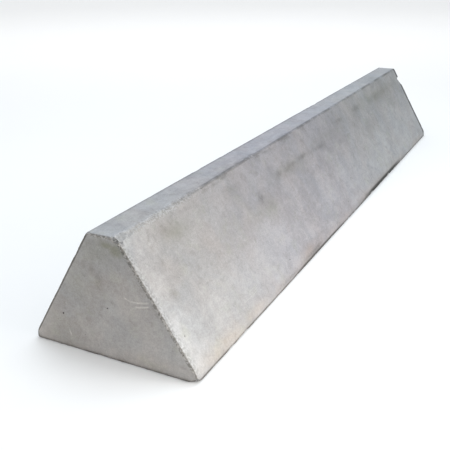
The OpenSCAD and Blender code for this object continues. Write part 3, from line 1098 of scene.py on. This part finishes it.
def zinc_material():
    """Electroplated socket steel: a dull, patchy zinc coat, with a little rust coming through."""
    g = Nodes("zinc_plated_steel")
    bloom = g.noise(0.006, 6, 0.7)
    brushed = g.noise(0.0012, 3, 0.6, at=g.stretched(1, 1, 0.15))
    colour = g.mix(g.remap(bloom, 0.35, 0.7), (0.44, 0.45, 0.47, 1), (0.62, 0.62, 0.6, 1))
    colour = g.mix(g.times(g.remap(bloom, 0.62, 0.8), 0.7), colour, (0.36, 0.2, 0.11, 1))
    roughness = g.remap(bloom, 0.3, 0.7, 0.32, 0.6)
    normal = g.bump(brushed, 0.0002)
    return g.surface(Base_Color=colour, Roughness=roughness, Metallic=0.9, Normal=normal)


def plastic_material():
    """Moulded grey plastic of the cover spacers, slightly mottled, with cement dust on it."""
    g = Nodes("moulded_plastic")
    dust = g.noise(0.01, 5, 0.65)
    colour = g.mix(g.remap(dust, 0.45, 0.7), (0.12, 0.125, 0.13, 1), (0.33, 0.32, 0.3, 1))
    roughness = g.remap(dust, 0.4, 0.7, 0.42, 0.75)
    normal = g.bump(g.noise(0.0008, 2, 0.5), 0.00008)
    return g.surface(Base_Color=colour, Roughness=roughness, Normal=normal)


def floor_material():
    g = Nodes("pale_floor")
    tone = g.noise(1.4, 3, 0.5)
    colour = g.mix(tone, (0.90, 0.90, 0.90, 1), (0.92, 0.92, 0.92, 1))
    return g.surface(Base_Color=colour, Roughness=0.9, Specular_IOR_Level=0.1)


def dress(node, material):
    """Gives a carried-over CAD node that material in every slot it has."""
    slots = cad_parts[node].material_slots
    if not len(slots):
        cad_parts[node].data.materials.append(material)
    for place in slots:
        place.link = "OBJECT"
        place.material = material


block = make_block()
concrete = concrete_material()
block.data.materials.append(concrete)
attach(block, "root")
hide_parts("concrete_body")

zinc, plastic, rebar = zinc_material(), plastic_material(), rebar_material()
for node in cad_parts:
    if node == "concrete_body":
        dress(node, concrete)
    elif node.startswith("lifting_socket"):
        dress(node, zinc)
    elif node == "cover_spacers":
        dress(node, plastic)
    else:
        dress(node, rebar)

# ---- floor, light and camera

FLOOR_R = 24.0
FLOOR_RISE = 10.0   # how far the rim curves up
FLOOR_RINGS = 24
FLOOR_SIDES = 96


def make_floor():
    """A pale round floor that curves up far away, so that no horizon line shows."""
    turns = [2 * math.pi * k / FLOOR_SIDES for k in range(FLOOR_SIDES)]
    bm = bmesh.new()
    rings = []
    for k in range(1, FLOOR_RINGS + 1):
        share = k / FLOOR_RINGS
        radius = FLOOR_R * share
        rise = FLOOR_RISE * max(0, (share - 0.5) / 0.5) ** 2
        rings.append([bm.verts.new((radius * math.cos(a), radius * math.sin(a), rise)) for a in turns])
    hub = bm.verts.new((0, 0, 0))
    for k in range(FLOOR_SIDES):
        after = (k + 1) % FLOOR_SIDES
        bm.faces.new((hub, rings[0][k], rings[0][after]))
        for inner, outer in zip(rings, rings[1:]):
            bm.faces.new((inner[k], outer[k], outer[after], inner[after]))
    mesh = bpy.data.meshes.new("floor")
    bm.to_mesh(mesh)
    bm.free()
    floor = add_smooth("floor", mesh)
    floor.location.z = block_lo.z
    floor.data.materials.append(floor_material())


def area_light(name, place, target, size, watts, colour):
    """A rectangular light that faces its target and that the camera doesn't see."""
    data = bpy.data.lights.new(name, "AREA")
    data.shape = "RECTANGLE"
    data.size, data.size_y = size
    data.energy = watts
    data.color = colour
    light = bpy.data.objects.new(name, data)
    light.location = place
    light.visible_camera = False
    light.rotation_euler = (Vector(target) - Vector(place)).to_track_quat("-Z", "Y").to_euler()
    bpy.context.scene.collection.objects.link(light)


def make_world(colour, strength):
    world = bpy.data.worlds.new("studio")
    world.use_nodes = True
    background = world.node_tree.nodes["Background"]
    background.inputs["Color"].default_value = colour
    background.inputs["Strength"].default_value = strength
    bpy.context.scene.world = world


CAMERA_PLACE = Vector((LEFT_X - 1.279, -1.028, 1.082))
HEADING = math.radians(27.055)   # from +X towards +Y
TILT = math.radians(27.446)      # downwards
ROLL = math.radians(-0.411)
SENSOR_WIDTH = 36                # in millimetres, as is the lens
LENS = 52.017
SHIFT_Y = 0.1333


def make_camera():
    """Stands where the photographer stood: off the left end, above the top, looking along the front."""
    data = bpy.data.cameras.new("camera")
    data.sensor_width = SENSOR_WIDTH
    data.lens = LENS
    data.shift_y = SHIFT_Y
    camera = bpy.data.objects.new("camera", data)
    turn = Matrix.Rotation(HEADING - math.pi / 2, 4, "Z") @ Matrix.Rotation(math.pi / 2 - TILT, 4, "X")
    camera.matrix_world = Matrix.Translation(CAMERA_PLACE) @ turn @ Matrix.Rotation(ROLL, 4, "Z")
    bpy.context.scene.collection.objects.link(camera)
    bpy.context.scene.camera = camera


make_floor()
make_world((0.965, 0.985, 1.0, 1), 0.85)
area_light("overhead", (0.4, 0, 4.2), (0.3, 0, 0), (5, 3), 84, (0.82, 0.92, 1.0))
area_light("key", (LEFT_X + 0.3, -1.65, 0.6), (LEFT_X + 0.35, -0.2, 0.15), (0.9, 0.9), 17, (1.0, 0.96, 0.91))
area_light("backdrop", (5, 3, 6), (12, 7, 0), (9, 7), 190, (1.0, 1.0, 1.0))
make_camera()
bpy.context.scene.view_settings.view_transform = "Standard"
